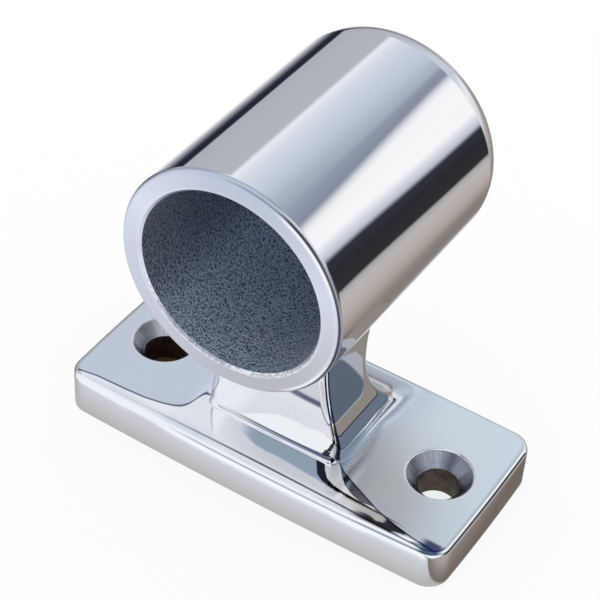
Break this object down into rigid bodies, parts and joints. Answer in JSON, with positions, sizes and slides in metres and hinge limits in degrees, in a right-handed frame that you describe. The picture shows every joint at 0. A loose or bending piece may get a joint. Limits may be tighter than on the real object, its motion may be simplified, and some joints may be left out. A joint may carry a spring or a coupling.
{
  "type": "ceiling rod flange",
  "caption": "Chromed ceiling flange cast in one piece: a flat plate with countersunk screw holes, a waisted neck and a blind round socket for the end of a rod.",
  "frame": {"origin": "centre of the box round the part, on the plate's underside; the socket reaches past the plate at both ends of Y", "axes": "+Z away from the surface that the plate is screwed to, +X along the plate, -Y out of the socket's mouth"},
  "size_m": [0.0614, 0.0414, 0.0578],
  "materials": {
    "chrome": "polished"
  },
  "bodies": {
    "root": {"rod_flange": "chrome"}
  },
  "joints": []
}
